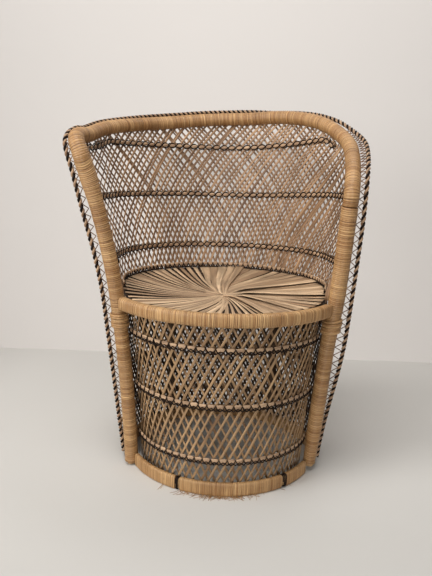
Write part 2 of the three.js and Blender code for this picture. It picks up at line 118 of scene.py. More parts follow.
def border_radius(z):
    return DRUM_RADIUS + 0.122 * z - 0.00002 * z * z


def border_middle(z):
    return -9 - 0.0125 * z


def border_roll(z, angle):
    """The border rolls outward beside the posts."""
    left = 25 * step(z, 415, 720)
    right = -8 + 17 * step(z, 40, 330)
    return np.where(np.asarray(angle) < 0, left, right) * step(np.abs(angle), 90, 110)


def rim_height(angle):
    """The rim falls all the way to the left, and has its crest on the right before it bends down."""
    if angle < 0:
        return RIM_HEIGHT - 72 * (-angle / RIM_END) - 11 * float(step(-angle, 55, 100))
    crest = RIM_HEIGHT + 7 * float(step(angle, 0, CREST_ANGLE))
    return crest + (RIGHT_BEND_HEIGHT - crest) * float(step(angle, CREST_ANGLE, RIM_END))


def back_roll(z, angle):
    """The back's wings roll outward to meet the posts."""
    left = 26 * step(z, 415, 720) * step(-angle, 80, 109)
    right = 15 * step(z, 432, 510) * step(angle, 84, 111)
    return left + right


def back_radius(z, angle):
    return TRIM_RADIUS + 0.148 * (z - TRIM_HEIGHT) + back_roll(z, np.asarray(angle))


def back_wings(u):
    """The strands of the back stand further apart on its two wings than in its middle."""
    return np.sign(u) * (np.abs(u) + 0.0109 * np.maximum(0, np.abs(u) - 40) ** 2)


def apron_arc(z):
    """Radius, middle and end angle of the arc that the apron follows between the posts."""
    front = -201 - 24 * z / SEAT_HEIGHT
    post = post_at(-1, z)
    end = lean(z) - post[..., 0] - 30
    sagitta = post[..., 1] + 8 - front
    radius = (end ** 2 + sagitta ** 2) / (2 * sagitta)
    return radius, front + radius, np.degrees(np.arcsin(end / radius))


class Wall:
    """A stack of arcs that the weave follows; angles in degrees from its middle, positive to the right."""

    def __init__(self, facing, radius, middle, spread=lambda u: u):
        self.facing, self.radius, self.middle, self.spread = facing, radius, middle, spread

    def out(self, angle):
        a = np.radians(np.asarray(angle, float))
        return np.stack([np.sin(a), self.facing * np.cos(a), 0 * a], -1)

    def at(self, angle, z, offset=0.0):
        angle, z = np.broadcast_arrays(np.asarray(angle, float), np.asarray(z, float))
        reach = self.radius(z, angle) + offset
        centre = np.stack([lean(z), self.middle(z) + 0 * z, z], -1)
        return centre + self.out(angle) * np.asarray(reach)[..., None]


border = Wall(1, lambda z, a: border_radius(z) + border_roll(z, a), border_middle)
drum = Wall(1, lambda z, a: DRUM_RADIUS + 3 * z / SEAT_HEIGHT, lambda z: -9 - 4 * z / SEAT_HEIGHT)
back = Wall(1, back_radius, lambda z: BACK_MIDDLE, back_wings)
apron = Wall(-1, lambda z, a: apron_arc(z)[0], lambda z: apron_arc(z)[1])


# Lines through points

def smooth_line(points, per=24):
    """A curve through points, with steps that even out where they crowd."""
    p = np.asarray(points, float)
    p = np.vstack([2 * p[0] - p[1], p, 2 * p[-1] - p[-2]])
    gap = np.maximum(np.linalg.norm(np.diff(p, axis=0), axis=1), 1e-6) ** 0.5
    parts = []
    for i in range(1, len(p) - 2):
        x0, x1, x2, x3 = p[i - 1:i + 3]
        d0, d1, d2 = gap[i - 1:i + 2]
        m1 = ((x1 - x0) / d0 - (x2 - x0) / (d0 + d1) + (x2 - x1) / d1) * d1
        m2 = ((x2 - x1) / d1 - (x3 - x1) / (d1 + d2) + (x3 - x2) / d2) * d1
        t = np.linspace(0, 1, per, endpoint=False)[:, None]
        c2, c3 = -3 * x1 + 3 * x2 - 2 * m1 - m2, 2 * x1 - 2 * x2 + m1 + m2
        parts.append(x1 + m1 * t + c2 * t ** 2 + c3 * t ** 3)
    return np.vstack(parts + [p[-2][None]])


def runs_of(path):
    """Distance along a path at each of its points."""
    return np.concatenate([[0], np.cumsum(np.linalg.norm(np.diff(path, axis=0), axis=1))])


def along(path, at, values=None):
    """The points of a path, or the values given for them, at distances along it."""
    run = runs_of(path)
    values = path if values is None else np.broadcast_to(np.asarray(values, float), path.shape)
    return np.stack([np.interp(at, run, values[:, k]) for k in range(3)], -1)


def carried(path, first):
    """Side directions that turn with the path and never spin round it."""
    tangent = unit(np.gradient(path, axis=0))
    out = np.zeros_like(path)
    guide = np.asarray(first, float)
    for i, t in enumerate(tangent):
        guide = unit(guide - t * guide.dot(t))
        out[i] = guide
    return out


def from_border_middle(points):
    """How far points lie to the right of the border's middle and behind it."""
    return points[:, 0] - lean(points[:, 2]), points[:, 1] - border_middle(points[:, 2])


def rim_point(angle):
    z = rim_height(angle)
    turn = float(border_roll(z, angle)) if angle < 0 else -9 * float(step(angle, 70, 100))
    reach = border_radius(z) + turn - RIM_INSET
    return border.out(angle) * reach + np.array([lean(z), border_middle(z), z])


rim_line = smooth_line(np.vstack([
    post_at(-1, np.array(LEFT_SPLICE)),
    [rim_point(a) for a in np.linspace(-109, 97, 11)],
    post_at(1, np.array(RIGHT_SPLICE))]))
rim_run = runs_of(rim_line)
rim_angles = np.degrees(np.arctan2(*from_border_middle(rim_line)))

# The rim's height over each degree of the walls, with nothing overhead where it doesn't pass
NO_RIM, RIM_WINDOW = 1500.0, 2.5
angle_steps = np.linspace(-112, 112, 225)
rim_over = np.array([min([NO_RIM, *rim_line[np.abs(rim_angles - a) < RIM_WINDOW, 2]]) for a in angle_steps])


def rim_top(angle):
    return np.interp(angle, angle_steps, rim_over)


# Strips, cords and tubes are swept along lines and gathered into one mesh for each piece

TEXTURE_UNIT = 100


def oval(width, thick, points=8, square=1.0):
    """Outline of a strip: an ellipse, or a squarer form where square is under 1."""
    a = np.linspace(0, 2 * np.pi, points, endpoint=False) + np.pi / points
    c, s = np.cos(a), np.sin(a)
    return np.stack([np.sign(c) * np.abs(c) ** square * width / 2,
                     np.sign(s) * np.abs(s) ** square * thick / 2], -1)


def shade(mean, spread):
    """A tone drawn for one strip, from 0 (deep) to 1 (pale)."""
    return float(np.clip(rng.normal(mean, spread), 0, 1))


class Bundle:
    """Swept strips of one finish. The texture runs u across a strip and v along its fibres, in decimetres."""

    def __init__(self):
        self.points, self.loops, self.starts, self.uvs, self.tones = [], [], [], [], []
        self.count, self.loop_count = 0, 0

    def sweep(self, path, out, section, tone, wound=False):
        """Carry one section, or one for each point, along a path; wound cane has its fibres round it."""
        path, section = np.asarray(path, float), np.asarray(section, float)
        n, m = len(path), section.shape[-2]
        tangent = unit(np.gradient(path, axis=0))
        out = np.broadcast_to(np.asarray(out, float), path.shape)
        out = unit(out - tangent * np.sum(out * tangent, -1, keepdims=True))
        across = np.cross(tangent, out)
        section = np.broadcast_to(section, (n, m, 2))
        ring = path[:, None] + across[:, None] * section[..., :1] + out[:, None] * section[..., 1:]
        self.points.append(ring.reshape(-1, 3))
        self.tones.append(np.repeat(np.broadcast_to(np.asarray(tone, float), (n,)), m))
        i, j = np.meshgrid(np.arange(n - 1), np.arange(m), indexing="ij")
        k = (j + 1) % m
        quads = np.stack([i * m + j, i * m + k, (i + 1) * m + k, (i + 1) * m + j], -1).reshape(-1, 4)
        self.loops.append((quads + self.count).ravel())
        self.starts.append(self.loop_count + 4 * np.arange(len(quads)))
        side = np.linalg.norm(np.diff(np.vstack([section[0], section[0][:1]]), axis=0), axis=1)
        girth = np.concatenate([[0], np.cumsum(side)]) / TEXTURE_UNIT
        run = runs_of(path) / TEXTURE_UNIT + rng.random() * 40
        shift = rng.random() * 10
        u = np.stack([girth[j], girth[j + 1], girth[j + 1], girth[j]], -1) + shift
        v = np.stack([run[i], run[i], run[i + 1], run[i + 1]], -1)
        pair = (v, u) if wound else (u, v)
        self.uvs.append(np.stack(pair, -1).reshape(-1, 2))
        self.loop_count += 4 * len(quads)
        for end, order in ((0, range(m - 1, -1, -1)), (n - 1, range(m))):
            self.loops.append(np.array([self.count + end * m + k for k in order]))
            self.starts.append(np.array([self.loop_count]))
            self.uvs.append(section[end][list(order)] / TEXTURE_UNIT + shift)
            self.loop_count += m
        self.count += n * m

    def piece(self, name, material, slot, *nodes):
        """Make the mesh, and say what it rides on and the nodes that it replaces; the slot is not used."""
        mesh = bpy.data.meshes.new(name)
        points = place(np.vstack(self.points))
        loops, starts = np.concatenate(self.loops), np.concatenate(self.starts)
        mesh.vertices.add(len(points))
        mesh.vertices.foreach_set("co", points.astype(np.float32).ravel())
        mesh.loops.add(len(loops))
        mesh.loops.foreach_set("vertex_index", loops.astype(np.int32))
        mesh.polygons.add(len(starts))
        mesh.polygons.foreach_set("loop_start", starts.astype(np.int32))
        mesh.polygons.foreach_set("use_smooth", np.ones(len(starts), bool))
        uv = mesh.uv_layers.new(name="strip")
        uv.data.foreach_set("uv", np.vstack(self.uvs).astype(np.float32).ravel())
        tone = mesh.attributes.new("tone", "FLOAT", "POINT")
        tone.data.foreach_set("value", np.concatenate(self.tones).astype(np.float32))
        mesh.update(calc_edges=True)
        mesh.materials.append(material)
        made = bpy.data.objects.new(name, mesh)
        bpy.context.scene.collection.objects.link(made)
        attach(made, "root")
        if nodes:
            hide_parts(*nodes)


# Finishes

def new_group(name, inputs, outputs):
    group = bpy.data.node_groups.new(name, "ShaderNodeTree")
    for label, value in inputs:
        socket = group.interface.new_socket(label, in_out="INPUT", socket_type="NodeSocketFloat")
        socket.default_value = value
    for label in outputs:
        group.interface.new_socket(label, in_out="OUTPUT", socket_type="NodeSocketFloat")
    return group, group.nodes.new("NodeGroupInput"), group.nodes.new("NodeGroupOutput")


def feed(tree, socket, value):
    """Link a socket to an output, or set its value."""
    if isinstance(value, bpy.types.NodeSocket):
        tree.links.new(value, socket)
    else:
        socket.default_value = value


def node(tree, kind, links=None, **values):
    made = tree.nodes.new(kind)
    for key, value in values.items():
        setattr(made, key, value)
    for key, value in (links or {}).items():
        feed(tree, made.inputs[key], value)
    return made


def sums(tree, operation, a, b=0.0, clamp=False):
    return node(tree, "ShaderNodeMath", {0: a, 1: b}, operation=operation, use_clamp=clamp).outputs[0]


def ramp(tree, value, low, high):
    return node(tree, "ShaderNodeMapRange", {"Value": value, "From Min": low, "From Max": high}).outputs[0]


def noise(tree, place_at, scale, detail):
    return node(tree, "ShaderNodeTexNoise", {"Vector": place_at, "Scale": scale, "Detail": detail}).outputs[0]


def stretched(tree, vector, by):
    return node(tree, "ShaderNodeVectorMath", {0: vector, 1: by}, operation="MULTIPLY").outputs[0]


def blend(tree, factor, a, b):
    made = node(tree, "ShaderNodeMix", data_type="RGBA", blend_type="MIX")
    for index, value in ((0, factor), (6, a), (7, b)):
        feed(tree, made.inputs[index], value)
    return made.outputs[2]


def make_fibre_group():
    """Fine fibres and broad streaks along a strip, and the tone drawn for it."""
    group, start, end = new_group("cane_fibre", [("Fineness", 60.0), ("Length", 1.2)],
                                  ["Fibre", "Streak", "Tone"])
    uv = node(group, "ShaderNodeUVMap", uv_map="strip")
    size = node(group, "ShaderNodeCombineXYZ",
                {0: start.outputs["Fineness"], 1: start.outputs["Length"], 2: 1.0})
    grain = stretched(group, uv.outputs[0], size.outputs[0])
    fine = noise(group, grain, 1.0, 3.0)
    broad = noise(group, stretched(group, grain, (0.16, 0.5, 1.0)), 1.0, 2.0)
    tone = node(group, "ShaderNodeAttribute", attribute_name="tone")
    group.links.new(fine, end.inputs["Fibre"])
    group.links.new(ramp(group, broad, 0.32, 0.68), end.inputs["Streak"])
    group.links.new(tone.outputs["Fac"], end.inputs["Tone"])
    return group


def make_age_group():
    """Stains and flecks all over, and dust on what faces up."""
    group, start, end = new_group("age_and_dust", [("Stain Size", 14.0), ("Fleck Size", 160.0)],
                                  ["Stain", "Fleck", "Dust"])
    place_at = node(group, "ShaderNodeTexCoord").outputs["Object"]
    big = noise(group, place_at, start.outputs["Stain Size"], 4.0)
    small = noise(group, place_at, start.outputs["Fleck Size"], 2.0)
    up = node(group, "ShaderNodeSeparateXYZ", {0: node(group, "ShaderNodeNewGeometry").outputs["Normal"]})
    group.links.new(ramp(group, big, 0.5, 0.72), end.inputs["Stain"])
    group.links.new(ramp(group, small, 0.62, 0.74), end.inputs["Fleck"])
    dusty = sums(group, "MULTIPLY", ramp(group, up.outputs[2], 0.2, 1.0), ramp(group, big, 0.35, 0.65))
    group.links.new(dusty, end.inputs["Dust"])
    return group


FIBRE, AGE = make_fibre_group(), make_age_group()


def colour(red, green, blue):
    """A colour as it is read off a screen, from 0 to 255, made linear."""
    def line(c):
        c /= 255
        return c / 12.92 if c <= 0.04045 else ((c + 0.055) / 1.055) ** 2.4
    return (line(red), line(green), line(blue), 1.0)


def finish(name, pale, deep, stain, rough, bump=0.25, fineness=60.0, length=1.2, stained=0.45, fleck=0.5,
           sheen=0.35):
    """A cane finish from its pale, deep and stained colours."""
    pale, deep, stain = colour(*pale), colour(*deep), colour(*stain)
    # Colour of the joints between turns: partly the joint itself, partly painted groove shade
    joint_and_groove_shade = tuple(0.3 * c for c in stain[:3]) + (1.0,)
    material = bpy.data.materials.new(name)
    material.use_nodes = True
    tree = material.node_tree
    shader = tree.nodes["Principled BSDF"]
    fibre = node(tree, "ShaderNodeGroup", node_tree=FIBRE)
    fibre.inputs["Fineness"].default_value = fineness
    fibre.inputs["Length"].default_value = length
    age = node(tree, "ShaderNodeGroup", node_tree=AGE)
    # Tones under 0 mark the joints between the turns of wrapped cane; their dark colour is partly the joint
    # itself and partly painted shade in the grooves
    joint = ramp(tree, fibre.outputs["Tone"], 0.0, -1.0)
    tone = sums(tree, "ADD", sums(tree, "MULTIPLY", fibre.outputs["Tone"], 0.62),
                sums(tree, "MULTIPLY", fibre.outputs["Streak"], 0.38), clamp=True)
    thread = ramp(tree, fibre.outputs["Fibre"], 0.62, 0.38)
    base = blend(tree, tone, deep, pale)
    for cover, amount, tint in ((thread, 0.55, stain),
                                (age.outputs["Stain"], stained, stain),
                                (age.outputs["Fleck"], fleck * 0.5, stain),
                                (age.outputs["Dust"], 0.12, pale)):
        base = blend(tree, sums(tree, "MULTIPLY", cover, amount), base, tint)
    base = blend(tree, joint, base, joint_and_groove_shade)
    gloss = node(tree, "ShaderNodeMapRange", {
        "Value": fibre.outputs["Fibre"], "From Min": 0.3, "From Max": 0.7,
        "To Min": rough - 0.08, "To Max": rough + 0.1})
    relief = node(tree, "ShaderNodeBump", {
        "Height": fibre.outputs["Fibre"], "Strength": bump, "Distance": 0.0006})
    tree.links.new(base, shader.inputs["Base Color"])
    tree.links.new(gloss.outputs[0], shader.inputs["Roughness"])
    tree.links.new(relief.outputs[0], shader.inputs["Normal"])
    shader.inputs["Specular IOR Level"].default_value = sheen
    return material


PALM_GRAIN = {"bump": 0.45, "fineness": 34.0, "length": 0.7}
CORE_GRAIN = {"fineness": 22.0, "length": 0.5}
wrap_cane = finish("honey_wrapping_cane", (216, 176, 124), (150, 106, 62), (88, 55, 29), 0.4, stained=0.4)
rail_cane = finish("rail_wrapping_cane", (222, 184, 132), (158, 114, 68), (96, 60, 32), 0.42, stained=0.3)
front_cane = finish("front_lattice_cane", (206, 170, 126), (116, 85, 57), (70, 48, 32), 0.5)
back_cane = finish("back_lattice_cane", (202, 164, 126), (104, 74, 52), (66, 45, 31), 0.5)
drum_cane = finish("rear_drum_cane", (186, 148, 106), (124, 92, 62), (70, 48, 32), 0.6)
# Painted shade: the drum's inner layer is coloured dark for the shade inside the drum
painted_shade_drum_cane = finish("shaded_drum_cane", (92, 70, 50), (54, 40, 29), (32, 23, 17), 0.7)
palm = finish("dry_palm_strip", (242, 211, 173), (146, 112, 82), (76, 54, 37), 0.52, **PALM_GRAIN)
# Painted shade: the weave under the seat's strips is coloured dark for the shade beneath them
painted_shade_palm = finish("shaded_palm_weave", (74, 54, 38), (46, 33, 23), (26, 19, 13), 0.8, **PALM_GRAIN)
dyed = finish("dyed_black_cane", (44, 30, 23), (20, 13, 10), (11, 8, 6), 0.6, fleck=0.2, sheen=0.1)
twine = finish("natural_twining_cane", (210, 178, 144), (148, 115, 87), (92, 66, 48), 0.5)
core = finish("bare_core_pole", (214, 182, 136), (178, 142, 98), (116, 84, 54), 0.6, **CORE_GRAIN)
# Painted shade: the legs and bars inside the drum are coloured dark for the shade inside it
shade_painted_core = finish("shade_darkened_core_pole", (104, 80, 56), (70, 52, 36), (42, 30, 21), 0.7, **CORE_GRAIN)
link_cane = finish("thin_link_cane", (150, 112, 78), (84, 58, 40), (46, 32, 22), 0.5)


# Wrapped poles

JOINT_SHARE, GAP_SHARE = 0.1, 0.3
TURN_SHARES = np.array([0.4, 0.66, 0.9])
TURN_RELIEF = np.array([-0.45, 0.02, 0.3, 0.26, -0.02])


def wrapped(bundle, path, out, section, pitch=WRAP_PITCH, size=1.0, skew=0.3, gaps=0.08, spread=0.2,
            level=0.52):
    """A pole bound with turns of cane: each is a low ridge of its own tone, with a dark joint to the next,
    darkened partly as painted groove shade.
    """
    run = runs_of(path)
    turns = max(2, int(round(run[-1] / pitch)))
    edge = np.linspace(0, run[-1], turns + 1)
    edge[1:-1] += rng.normal(0, 0.07 * pitch, turns - 1)
    joint = np.where(rng.random(turns) < gaps, GAP_SHARE, JOINT_SHARE)
    share = np.column_stack([0 * joint, joint, np.tile(TURN_SHARES, (turns, 1))])
    at = np.append(edge[:-1, None] + share * np.diff(edge)[:, None], run[-1])
    relief = TURN_RELIEF + rng.normal(0, 0.1, (turns, 1))
    relief[:, 0] -= 2.5 * (joint - JOINT_SHARE)
    relief = np.append(relief, -0.8)
    drift = 0.16 * np.sin(np.arange(turns) * 0.17 + rng.random() * 6)
    tone = np.repeat(np.clip(rng.normal(level, spread, turns) + drift, 0, 1)[:, None], len(TURN_RELIEF), 1)
    # Joint rings take tones under 0: a dark joint, deepened as painted groove shade, more so where the gap is
    # wide
    tone[:, 0] = -np.clip(rng.normal(0.62, 0.3, turns) + 2 * (joint - JOINT_SHARE), 0.05, 1)
    tone = np.append(tone, -0.6)
    spine = along(path, at)
    section = np.asarray(section, float)
    rings = section * (1 + relief[:, None, None] / np.linalg.norm(section, axis=1)[:, None])
    rings = rings * np.interp(at, run, np.broadcast_to(size, run.shape))[:, None, None]
    bundle.sweep(spine, along(path, at, out), rings, tone, wound=True)
    # Each turn climbs a little from its one side to its other
    tangent = unit(np.gradient(spine, axis=0))
    turned = np.sin(np.arctan2(section[:, 1], section[:, 0]))[:, None]
    climb = np.interp(at, run, np.broadcast_to(skew, run.shape))[:, None, None] * pitch
    slide = climb * turned * tangent[:, None]
    slide[[0, -1]] = 0
    bundle.points[-1] = bundle.points[-1] + slide.reshape(-1, 3)


def make_post(name, side, foot, top, swell):
    """A wrapped post, and the sawn end of its pole that shows at the foot."""
    bundle = Bundle()
    z = np.linspace(foot + 7.3, top, 90)
    wrapped(bundle, post_at(side, z), (0, 1, 0), oval(2 * POLE[name], 2 * POLE[name], 26), size=swell(z),
            skew=0.3 + 1.6 * step(z, 640, 690) * (side < 0))
    bundle.piece(f"{name}_wrapped_post", wrap_cane, "wrapped_cane", f"{name}_post")
    stub = Bundle()
    z = foot + np.array([-0.4, 0.4, 3, 7.6])
    bevel = np.array([0.86, 0.98, 1.0, 1.0])
    stub.sweep(post_at(side, z), (0, 1, 0), oval(22, 22, 18)[None] * bevel[:, None, None], 0.6)
    stub.piece(f"{name}_sawn_pole_end", core, "bare_core", f"{name}_post_core_end")


make_post("left", -1, 2.0, 682.0, lambda z: 1 + 0.16 * step(z, 600, 665))
make_post("right", 1, 11.0, 625.0, lambda z: 0.82 + 0.14 * step(z, 18, 110) + 0.04 * step(z, 330, 420))

rim = Bundle()
wrapped(rim, rim_line, carried(rim_line, (0, 1, 0)), oval(2 * POLE["rim"], 2 * POLE["rim"], 26),
        size=1 + 0.1 * (1 - step(rim_run, 0, 70)), skew=0.3 + 1.6 * (1 - step(rim_run, 10, 60)),
        level=0.36)
rim.piece("wrapped_top_rim", wrap_cane, "wrapped_cane", "top_rim")


# Front rails and the hoops behind them

def rail_arc(front, x, y, ends, z, count=120):
    """Line, outward directions, radius and middle of an arc through its front and a point on each side."""
    sagitta = front + y
    radius = (x ** 2 + sagitta ** 2) / (2 * sagitta)
    middle = radius - front
    x = np.linspace(*ends, count)
    y = middle - np.sqrt(radius ** 2 - x ** 2)
    path = np.stack([x + lean(z), y, 0 * x + z], -1)
    return path, unit(np.stack([x, y - middle, 0 * x], -1)), radius, middle


seat_line, seat_out, seat_radius, seat_middle = rail_arc(242, 218, -133, (-222.5, 223.5), SEAT_RAIL_HEIGHT)
rail = Bundle()
wrapped(rail, seat_line, seat_out, oval(28, 22, 30, 0.62), pitch=RAIL_PITCH, skew=0.1, gaps=0.1, spread=0.3)
rail.piece("wrapped_seat_rail", rail_cane, "wrapped_cane", "front_seat_rail")

# The base rail's wrapping stops on both sides of the black ties; each tie has its place and its pitch
BASE_LEFT, BASE_RIGHT = -198, 193
BASE_RUNS = ((BASE_LEFT, -101.5), (-92.5, 131.5), (142.5, BASE_RIGHT))
TIES = {"left": (-97, 2.0), "right": (137, 3.2)}
base_line, base_out, _, _ = rail_arc(213, 198, -92, (BASE_LEFT, BASE_RIGHT), BASE_HEIGHT, 240)
base_run = runs_of(base_line)
base = Bundle()
for first, last in BASE_RUNS:
    keep = (base_line[:, 0] >= first - 0.5) & (base_line[:, 0] <= last + 0.5)
    wrapped(base, base_line[keep], base_out[keep], oval(30, 12, 30, 0.5), pitch=RAIL_PITCH, skew=0.05,
            gaps=0.05, spread=0.18, level=0.42)
base.piece("wrapped_base_rail", rail_cane, "wrapped_cane", "front_base_rail")

neck = Bundle()
for x, _ in TIES.values():
    keep = np.abs(base_line[:, 0] - x) < 12
    neck.sweep(base_line[keep], base_out[keep], oval(24, 6, 14, 0.5), 0.5)
neck.piece("bare_rail_core", core, "bare_core")


def boxy(c):
    """A sine or cosine squared off, so that a cord goes round a flat rail."""
    return np.sign(c) * np.abs(c) ** 0.6


for name, (x, pitch) in TIES.items():
    cord = Bundle()
    turn = np.linspace(0, 2.3, 70)
    a = 2 * np.pi * turn
    at = np.interp(x + pitch * (turn - 1.1), base_line[:, 0], base_run)
    centre = along(base_line, at)
    line = centre + along(base_line, at, base_out) * (6.6 * boxy(np.cos(a)))[:, None]
    line[:, 2] += 13.4 * boxy(np.sin(a))
    cord.sweep(line, centre - line, oval(2.7, 2.6, 8), 0.3 + 0.2 * np.sin(a * 5))
    cord.piece(f"{name}_dark_base_tie", dyed, "dyed_cane", f"{name}_base_tie")

hoop = Bundle()
hoop_angles = np.linspace(-94, 94, 90)
wrapped(hoop, drum.at(hoop_angles, BASE_HEIGHT, -12.2), drum.out(hoop_angles), oval(30, 12, 22, 0.5),
        pitch=4.6, skew=0.05)
hoop.piece("wrapped_rear_base_hoop", rail_cane, "wrapped_cane", "rear_base_hoop")


# Bare poles inside the drum

BARE_INSET = -16.2
LEG_RADIUS, BAR_RADIUS = 9.6, 8.2


def bare_pole(bundle, path, out, radius, count=40):
    """An unwrapped pole with low knots."""
    path = along(path, np.linspace(0, runs_of(path)[-1], count))
    out = np.broadcast_to(np.asarray(out, float), path.shape)
    knot = np.exp(-((np.arange(count) % 14 - 6) / 0.8) ** 2) * 0.09
    size = 1 + knot + 0.02 * np.sin(np.arange(count) * 0.9 + rng.random() * 6)
    sections = oval(2 * radius, 2 * radius, 14)[None] * size[:, None, None]
    bundle.sweep(path, out, sections, 0.4 + 0.3 * rng.random())


bare = Bundle()
bare_pole(bare, drum.at(np.linspace(-104, 104, 60), HOOP_HEIGHT, BARE_INSET), (0, 0, 1), LEG_RADIUS)
bare.piece("bare_rear_seat_hoop", core, "bare_core", "rear_seat_hoop")
bare = Bundle()
for angle in (-38, 38):
    bare_pole(bare, drum.at(angle, np.linspace(31.5, 381.7, 20), BARE_INSET), (1, 0, 0), LEG_RADIUS)
hoop_reach = float(drum.radius(HOOP_HEIGHT, 0)) + BARE_INSET - 10 - 1.2
for shift in (-60, 60):
    reach = math.sqrt(hoop_reach ** 2 - (abs(shift) + 8.5) ** 2)
    x = np.linspace(-reach, reach, 20) + lean(HOOP_HEIGHT)
    bar = np.stack([x, 0 * x + drum.middle(HOOP_HEIGHT) + shift, 0 * x + HOOP_HEIGHT], -1)
    bare_pole(bare, bar, (0, 0, 1), BAR_RADIUS)
# The legs and bars take the painted shade finish
bare.piece("bare_seat_frame", shade_painted_core, "bare_core", "left_rear_leg", "right_rear_leg", "front_seat_bar",
           "rear_seat_bar")

# Lashings under the seat rail's ends
LASH_TURNS, LASH_FOOT, LASH_RISE = 6, 345, 5.0
for name, side in (("left", -1), ("right", 1)):
    lash = Bundle()
    turn = np.linspace(0, LASH_TURNS, LASH_TURNS * 28)
    a = 2 * np.pi * turn * side
    z = LASH_FOOT + LASH_RISE * turn + 1.6 * np.sin(a + 0.8) + 0.8 * np.sin(0.37 * a)
    facing = np.stack([np.cos(a), np.sin(a), 0 * a], -1)
    line = post_at(side, z) + facing * (POLE[name] + 2.6 + 0.6 * np.sin(turn * 1.7))[:, None]
    lash.sweep(line, facing, oval(5.4, 4.0, 10, 0.7), 0.5 + 0.25 * np.sin(turn * 2.3))
    lash.piece(f"{name}_seat_joint_lashing", wrap_cane, "wrapped_cane", f"{name}_seat_lashing")


# Lattice walls

STRAND_THICK, STRAND_POINTS, FEWEST_INSIDE = 1.8, 16, 9
PALEST_SHARE = 0.05
# Each layer: its name, the way it leans and its base tone; the left-leaning layer lies behind, and its lower
# tone is painted shade
LAYERS = (("right", 1, 0.62), ("left", -1, 0.38))
LENGTHS = ("_left", "_middle", "_right")


def strand_section(width):
    return oval(width, STRAND_THICK, 8, 0.7)


def strand(bundle, wall, start, turn, bottom, top, edge, offset, width, tone):
    """One cane from the wall's foot, or from where it comes in at an edge, to the rim or the other edge."""
    z = np.linspace(bottom, STRAND_LIMIT, 260)
    a = wall.spread(start + turn(z - bottom))
    inside = (np.abs(a) <= edge(z)) & (z <= top(a))
    if inside.sum() < FEWEST_INSIDE:
        return
    z = np.linspace(z[inside][0], z[inside][-1], STRAND_POINTS)
    sway = 0.16 * np.sin(z * 0.018 + rng.random() * 6.3)
    sway = sway + 0.05 * rng.normal(size=STRAND_POINTS).cumsum() * 0.3
    a = wall.spread(start + turn(z - bottom) + sway)
    push = offset + 0.35 * np.sin(z * 0.05 + rng.random() * 6.3)
    bundle.sweep(wall.at(a, z, push), wall.out(a), strand_section(width), tone)


def lattice(bundle, wall, pitch, turn, bottom, top, edge, offset, width, tone, crowd):
    """A layer of canes that all lean one way, and stand closer on the right where they crowd."""
    reach = float(edge(bottom)) + abs(turn(STRAND_LIMIT - bottom))
    start = -reach
    while start < reach:
        start += pitch * (1 - crowd * float(step(start + turn(200), 10, 65)))
        bend = 1 + rng.normal(0, 0.012)
        strand_tone = 1.0 if rng.random() < PALEST_SHARE else shade(tone, 0.24)
        first = start + rng.normal(0, 0.05) * pitch
        strand_width = width * (1 + rng.normal(0, 0.09))
        strand(bundle, wall, first, lambda h: bend * turn(h), bottom, top, edge, offset, strand_width,
               strand_tone)


def canes_beside_post(bundle, edge, offset, width):
    """Steep canes between the back's right edge and the right post, just above the seat."""
    z = np.linspace(416, 600, STRAND_POINTS)
    end, post = back.at(edge(z), z, offset), post_at(1, z)
    near = post + unit(end - post) * (POLE["right"] + 0.8)
    for share in (0.2, 0.5, 0.8):
        bundle.sweep(end + (near - end) * share, (0, -1, 0), strand_section(width), 0.25 + 0.5 * share)


def woven_wall(name, wall, pitch, turn, bottom, top, edge, offsets, widths, materials, lengths, crowd=0.0):
    """Two layers of canes, one leaning each way; turn is a cane's sweep at a height above its foot."""
    for (way, sign, tone), offset, width, material in zip(LAYERS, offsets, widths, materials):
        layer = Bundle()
        leans_right = sign > 0
        lattice(layer, wall, pitch, lambda h: sign * turn(h), bottom, top, edge, offset, width, tone,
                crowd if leans_right else 0.0)
        if wall is back and leans_right:
            canes_beside_post(layer, edge, offset, width)
        layer.piece(f"{name}_{way}_leaning_strands", material, "lattice_cane",
                    *[f"{name}_{way}_leaning_canes{length}" for length in lengths])


woven_wall("apron", apron, pitch=5.0, turn=lambda h: 0.136 * h, bottom=8.0, top=lambda a: 0 * a + 397,
           edge=lambda z: apron_arc(z)[2] + 4.5 + 3.5 * (1 - step(z, 20, 120)),
           offsets=(2.2, -1.8), widths=(5.8, 5.0), materials=(front_cane, front_cane), lengths=("",))
woven_wall("back", back, pitch=3.0, turn=lambda h: 0.081 * h + 0.000129 * h * h, bottom=406.0,
           top=lambda a: rim_top(a) - 10, edge=lambda z: 110.6 + 1.2 * step(z, 430, 700),
           offsets=(-1.6, 1.6), widths=(5.8, 5.2), materials=(back_cane, back_cane), lengths=LENGTHS,
           crowd=0.42)
# The drum's inner layer takes the painted shade finish
woven_wall("drum", drum, pitch=2.8, turn=lambda h: 0.13 * h, bottom=6.0, top=lambda a: 0 * a + 398,
           edge=lambda z: border_edge(z) - 0.6,
           offsets=(2.2, -2.2), widths=(5.8, 5.8), materials=(drum_cane, painted_shade_drum_cane), lengths=LENGTHS)


# Twined bands

STITCH_STEPS = 10
BAND_OFFSET, BAND_TALL, BAND_THICK = 6.2, 9.4, 3.2


def stitches_between(low, high, pitch):
    """How many stitches fit between two angles, their exact pitch, and fine steps counted in stitches."""
    cells = max(2, int(round((high - low) / pitch)))
    return cells, (high - low) / cells, np.arange(0, cells * STITCH_STEPS + 1) / STITCH_STEPS


